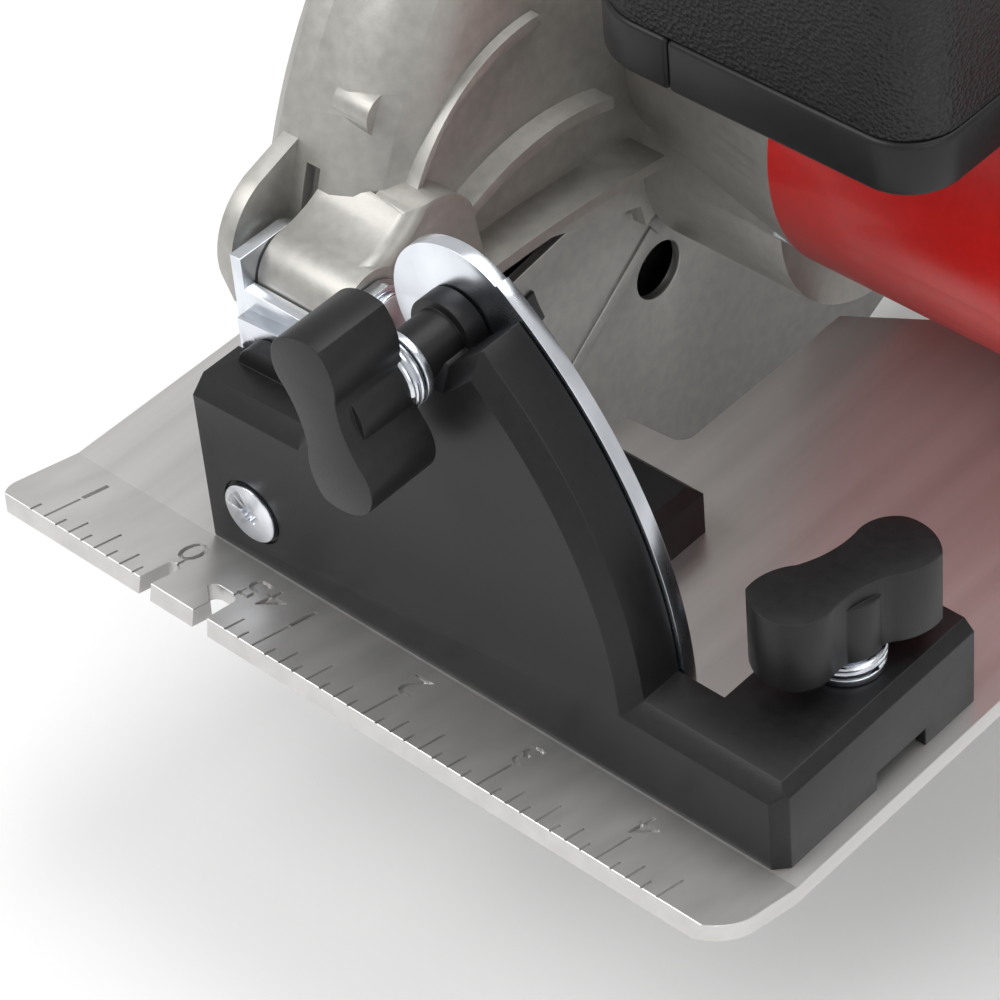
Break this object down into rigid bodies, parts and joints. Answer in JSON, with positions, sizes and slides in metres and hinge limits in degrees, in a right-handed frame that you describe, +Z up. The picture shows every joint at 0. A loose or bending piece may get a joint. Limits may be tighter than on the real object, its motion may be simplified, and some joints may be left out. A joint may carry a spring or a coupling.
{
  "type": "circular saw",
  "caption": "Cordless circular saw with a bevelling shoe, swinging depth adjustment, retracting lower guard and slide-on battery.",
  "frame": {"origin": "on the flat sole of the shoe, at the square-cut line, 50 mm behind the front edge of the nose", "axes": "+Z up from the sole, -Y towards the nose, +X towards the motor"},
  "size_m": [0.1868, 0.317, 0.2326],
  "materials": {
    "steel": "brushed plate",
    "zinc": "bright zinc plate",
    "black": "fine moulded texture",
    "rubber": "pebbled overmould",
    "casting": "cast, satin",
    "guard": "satin",
    "red": "satin moulded",
    "dark": "satin",
    "blade": "ground",
    "copper": "wound wire",
    "board": "lacquer"
  },
  "bodies": {
    "base": {"shoe": "steel", "shoe_rivets": "zinc", "front_bracket": "black", "fence_guide": "black", "rear_bracket": "dark", "bevel_pivot_pins": "zinc", "clamp_washers": "zinc", "bevel_nut": "zinc"},
    "tilt_frame": {"bevel_quadrant": "zinc", "knuckle_bracket": "zinc", "sheet_rivets": "zinc", "depth_pin": "zinc", "depth_arm": "zinc"},
    "saw": {"upper_guard": "casting", "guard_cover": "casting", "cover_screws": "dark", "guard_ring": "zinc", "guard_spring": "zinc", "gearcase": "casting", "motor_screws": "zinc", "bearings": "zinc", "bearing_plate": "casting", "stator": "copper", "motor_housing": "red", "motor_cap": "black", "front_grip_left": "black", "front_grip_right": "black", "front_grip_cover": "rubber", "handle_left": "red", "handle_right": "red", "handle_screws": "dark", "switch": "black", "control_board": "board", "battery_mount": "black", "depth_bolt": "zinc", "dust_port": "black"},
    "lower_guard": {"lower_guard": "guard", "guard_lever": "dark"},
    "blade": {"blade": "blade", "inner_flange": "dark", "outer_flange": "dark", "blade_bolt": "dark", "spindle": "zinc", "drive_gear": "dark"},
    "rotor": {"rotor_shaft": "zinc", "pinion": "dark", "rotor_core": "dark", "fan": "black"},
    "bevel_clamp": {"bevel_knob": "black", "bevel_screw": "zinc"},
    "fence_clamp": {"fence_knob": "black", "fence_screw": "zinc"},
    "trigger": {"trigger": "red"},
    "lock_off": {"lock_off": "black"},
    "spindle_lock": {"spindle_lock": "black"},
    "depth_lever": {"depth_lever": "black"},
    "battery": {"battery_case": "black", "battery_cells": "zinc"},
    "latch_left": {"latch_left": "red"},
    "latch_right": {"latch_right": "red"}
  },
  "joints": [
    {"name": "bevel_tilt", "type": "hinge", "parent": "base", "child": "tilt_frame", "pos_m": [0.0083, 0, 0.015], "axis": [0, -1, 0], "range_deg": [0, 50]},
    {"name": "depth_swing", "type": "hinge", "parent": "tilt_frame", "child": "saw", "pos_m": [0.008, -0.0068, 0.0486], "axis": [1, 0, 0], "range_deg": [0, 35]},
    {"name": "lower_guard_swing", "type": "hinge", "parent": "saw", "child": "lower_guard", "pos_m": [0.006, 0.097, 0.0286], "axis": [1, 0, 0], "range_deg": [0, 130], "stiffness_Nm_per_rad": 0.15, "springref_deg": -57.3},
    {"name": "blade_spin", "type": "hinge", "parent": "saw", "child": "blade", "pos_m": [0, 0.097, 0.0286], "axis": [1, 0, 0], "continuous": true},
    {"name": "rotor_spin", "type": "hinge", "parent": "saw", "child": "rotor", "pos_m": [0.08, 0.097, 0.0536], "axis": [1, 0, 0], "continuous": true},
    {"name": "bevel_knob_turn", "type": "hinge", "parent": "base", "child": "bevel_clamp", "pos_m": [0.05163, -0.04, 0.0725], "axis": [0, -1, 0], "range_deg": [0, 180]},
    {"name": "fence_knob_turn", "type": "hinge", "parent": "base", "child": "fence_clamp", "pos_m": [0.1132, -0.0015, 0.03], "axis": [0, 0, 1], "range_deg": [0, 180]},
    {"name": "trigger_pull", "type": "slide", "parent": "saw", "child": "trigger", "axis": [0, 0, 1], "range_m": [0, 0.005], "stiffness_N_per_m": 600, "springref_m": -0.004},
    {"name": "lock_off_press", "type": "slide", "parent": "saw", "child": "lock_off", "axis": [1, 0, 0], "range_m": [0, 0.003], "stiffness_N_per_m": 500, "springref_m": -0.003},
    {"name": "spindle_lock_press", "type": "slide", "parent": "saw", "child": "spindle_lock", "axis": [0, -1, 0], "range_m": [0, 0.0035], "stiffness_N_per_m": 700, "springref_m": -0.003},
    {"name": "depth_lever_turn", "type": "hinge", "parent": "saw", "child": "depth_lever", "pos_m": [0.019, 0.14174, 0.02772], "axis": [-1, 0, 0], "range_deg": [0, 35]},
    {"name": "battery_slide", "type": "slide", "parent": "saw", "child": "battery", "axis": [0, 1, 0], "range_m": [0, 0.11]},
    {"name": "latch_left_press", "type": "slide", "parent": "battery", "child": "latch_left", "axis": [1, 0, 0], "range_m": [0, 0.002], "stiffness_N_per_m": 500, "springref_m": -0.002},
    {"name": "latch_right_press", "type": "slide", "parent": "battery", "child": "latch_right", "axis": [-1, 0, 0], "range_m": [0, 0.002], "stiffness_N_per_m": 500, "springref_m": -0.002}
  ],
  "couplings": [
    {"joint": "rotor_spin", "follows": "blade_spin", "ratio": -3.5455}
  ]
}
